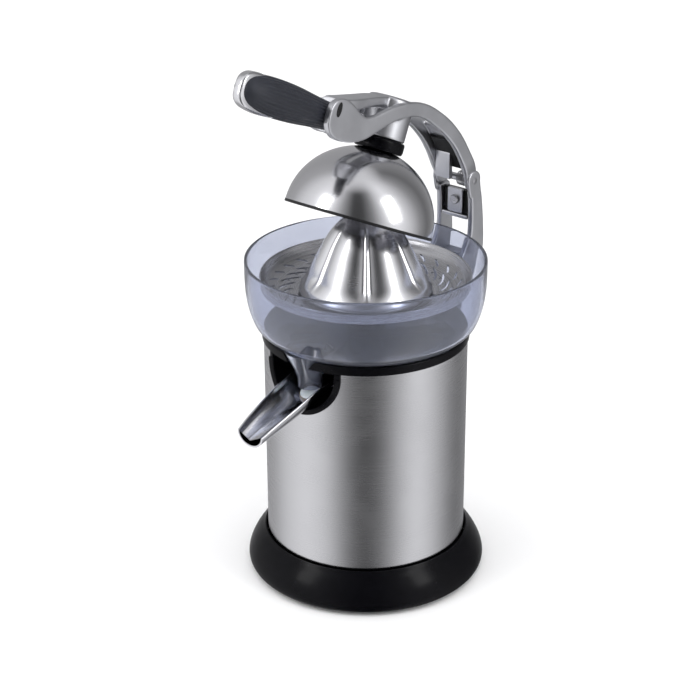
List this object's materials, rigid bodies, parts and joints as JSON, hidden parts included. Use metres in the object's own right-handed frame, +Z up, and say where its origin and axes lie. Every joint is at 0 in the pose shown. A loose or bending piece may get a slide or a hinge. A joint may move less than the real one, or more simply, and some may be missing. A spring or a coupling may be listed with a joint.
{
  "type": "citrus press juicer",
  "caption": "Electric citrus press with a fluted reaming cone, clear juice bowl and strainer, and a hinged lever arm with a steel dome.",
  "frame": {"origin": "on the cone's axis, in the flat boss in the middle of the base cover's underside; the rubber feet reach 2 mm lower", "axes": "+Z up, -Y towards the spout and the hand grip, +Y towards the column, X across the machine"},
  "size_m": [0.1958, 0.2744, 0.446],
  "materials": {
    "brushed_steel": "brushed round the body",
    "polished_steel": "polished stainless steel",
    "satin_aluminium": "satin die casting",
    "gloss_black": "gloss",
    "matt_black": "matt",
    "rubber": "soft, finely ribbed on the grip",
    "smoky_clear": "clear tinted plastic",
    "white_plastic": "natural",
    "silicone": "translucent",
    "copper": "enamelled copper wire",
    "brass": "turned"
  },
  "bodies": {
    "base": {"base_cover": "matt_black", "base_ring": "gloss_black", "foot_1": "rubber", "foot_2": "rubber", "foot_3": "rubber", "foot_4": "rubber", "base_screw_1": "brushed_steel", "base_screw_2": "brushed_steel", "base_screw_3": "brushed_steel", "body_shell": "brushed_steel", "inner_frame": "matt_black", "top_deck": "gloss_black", "spout_bezel": "gloss_black", "spout_pin_left": "brushed_steel", "spout_pin_right": "brushed_steel", "cord_gland": "matt_black", "motor_stator": "brushed_steel", "motor_winding": "copper", "motor_plate": "brushed_steel", "gearbox_lid": "brushed_steel", "shaft_bush": "brass", "mid_axle": "brushed_steel", "micro_switch": "matt_black", "juice_bowl": "smoky_clear", "strainer": "brushed_steel", "column_plate_left": "satin_aluminium", "column_plate_right": "satin_aluminium", "column_web": "satin_aluminium", "column_brace": "satin_aluminium", "column_saddle": "satin_aluminium", "column_screw_1": "brushed_steel", "column_screw_2": "brushed_steel", "spring_box": "matt_black", "spring_strip": "satin_aluminium", "strip_screw": "brushed_steel", "hinge_pin": "brushed_steel", "torsion_spring": "brushed_steel"},
    "rotor": {"motor_rotor": "brushed_steel", "motor_fan": "white_plastic", "motor_pinion": "brass"},
    "mid": {"mid_gear": "white_plastic"},
    "drive": {"output_gear": "white_plastic", "return_spring": "brushed_steel"},
    "cone": {"drive_shaft": "brushed_steel", "juicing_cone": "polished_steel", "cone_insert": "matt_black"},
    "plunger": {"switch_plunger": "white_plastic"},
    "spout": {"juice_spout": "polished_steel", "drip_seal": "silicone"},
    "lever": {"arm_frame": "satin_aluminium", "lever_stop": "satin_aluminium", "neck_collar": "gloss_black", "press_dome": "polished_steel", "dome_edge": "matt_black", "dome_bolt": "brushed_steel", "dome_nut": "brushed_steel", "handle_core": "polished_steel", "hand_grip": "rubber"}
  },
  "joints": [
    {"name": "lever_hinge", "type": "hinge", "parent": "base", "child": "lever", "pos_m": [0, 0.117, 0.302], "axis": [-1, 0, 0], "range_deg": [-21, 45]},
    {"name": "drive_spin", "type": "hinge", "parent": "base", "child": "drive", "pos_m": [0, 0, 0.14], "axis": [0, 0, 1], "continuous": true},
    {"name": "cone_press", "type": "slide", "parent": "drive", "child": "cone", "axis": [0, 0, 1], "range_m": [-0.002, 0], "stiffness_N_per_m": 2000, "springref_m": 0.004, "deforming": ["return_spring"]},
    {"name": "plunger_press", "type": "slide", "parent": "base", "child": "plunger", "axis": [0, 0, 1], "range_m": [-0.002, 0]},
    {"name": "mid_spin", "type": "hinge", "parent": "base", "child": "mid", "pos_m": [-0.042, 0, 0.13], "axis": [0, 0, 1], "continuous": true},
    {"name": "rotor_spin", "type": "hinge", "parent": "base", "child": "rotor", "pos_m": [-0.02701, 0.03601, 0.08], "axis": [0, 0, 1], "continuous": true},
    {"name": "spout_tilt", "type": "hinge", "parent": "base", "child": "spout", "pos_m": [0, -0.056, 0.178], "axis": [-1, 0, 0], "range_deg": [0, 18]}
  ],
  "couplings": [
    {"joint": "plunger_press", "follows": "cone_press", "ratio": 1},
    {"joint": "mid_spin", "follows": "drive_spin", "ratio": -3.6667},
    {"joint": "rotor_spin", "follows": "drive_spin", "ratio": 12.222}
  ]
}
